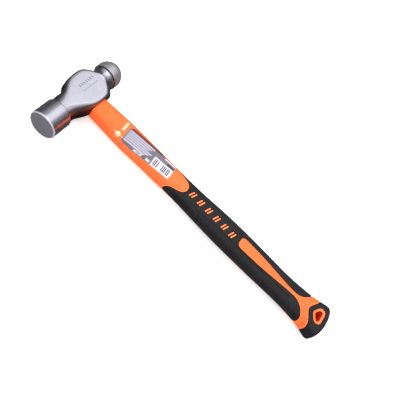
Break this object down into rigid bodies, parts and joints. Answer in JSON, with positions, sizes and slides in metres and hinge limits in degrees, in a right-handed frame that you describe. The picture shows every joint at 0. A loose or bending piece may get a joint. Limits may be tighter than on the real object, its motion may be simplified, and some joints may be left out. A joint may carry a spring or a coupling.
{
  "type": "ball peen hammer",
  "caption": "Ball peen hammer: forged steel head with round striking face, flat cheeks and ball, bonded to a slim overmoulded handle with a soft grip and a hang hole.",
  "frame": {"origin": "under the middle of the hammer's box, at the height of the lowest point of the poll", "axes": "+X along the handle from the head to the butt, +Y towards the ball, with the striking face looking along -Y, +Z out of the upper cheek"},
  "size_m": [0.3396, 0.1058, 0.0282],
  "materials": {
    "forged_steel": "ground and polished, with a dark unpolished neck",
    "fibreglass": "pultruded glass fibre in clear resin",
    "epoxy": "cast resin, glossy meniscus",
    "orange_plastic": "moulded, satin gloss",
    "black_rubber": "matt soft grip with fine dotted side panels",
    "label_film": "printed film, slightly glossy"
  },
  "bodies": {
    "root": {"hammer_head": "forged_steel", "handle_core": "fibreglass", "eye_bond": "epoxy", "handle_jacket": "orange_plastic", "main_grip": "black_rubber", "butt_grip": "black_rubber", "product_label": "label_film"}
  },
  "joints": []
}
